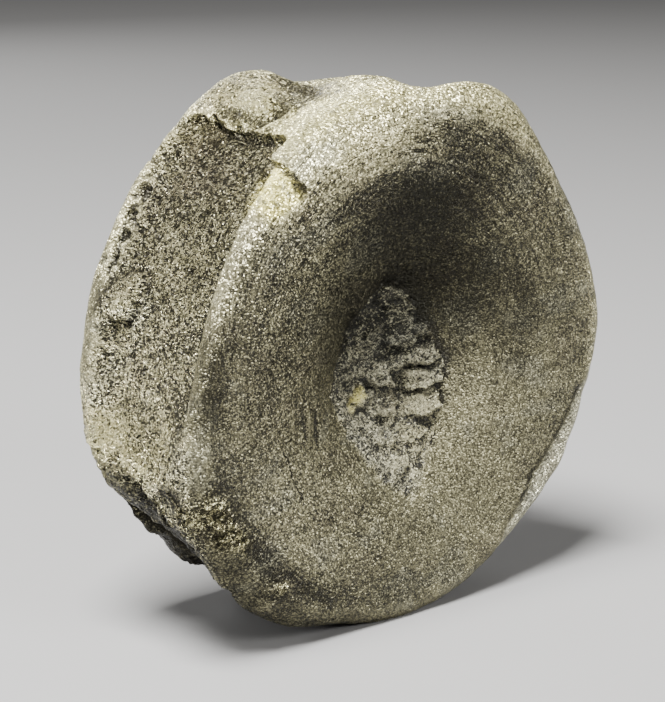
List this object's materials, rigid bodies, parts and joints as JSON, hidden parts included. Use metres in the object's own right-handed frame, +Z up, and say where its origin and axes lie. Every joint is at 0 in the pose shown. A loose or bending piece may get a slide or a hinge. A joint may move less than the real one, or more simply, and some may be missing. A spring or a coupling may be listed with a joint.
{
  "type": "fossil ichthyosaur vertebra",
  "caption": "Disc-shaped fossil vertebra with a dished face on each side, a waisted wall with a long trough and a rib knob, standing on its rim.",
  "frame": {"origin": "middle of the bounding box at the ground that the rim stands on", "axes": "+Z up, Y along the disc's own axis through both dishes, X across the disc; the dish with the broken plug faces -Y"},
  "size_m": [0.0856, 0.029, 0.0845],
  "materials": {
    "fossil_bone": "dark bronze-grey mineralised bone with a fine metallic grain, semi-gloss"
  },
  "bodies": {
    "root": {"centrum": "fossil_bone"}
  },
  "joints": []
}
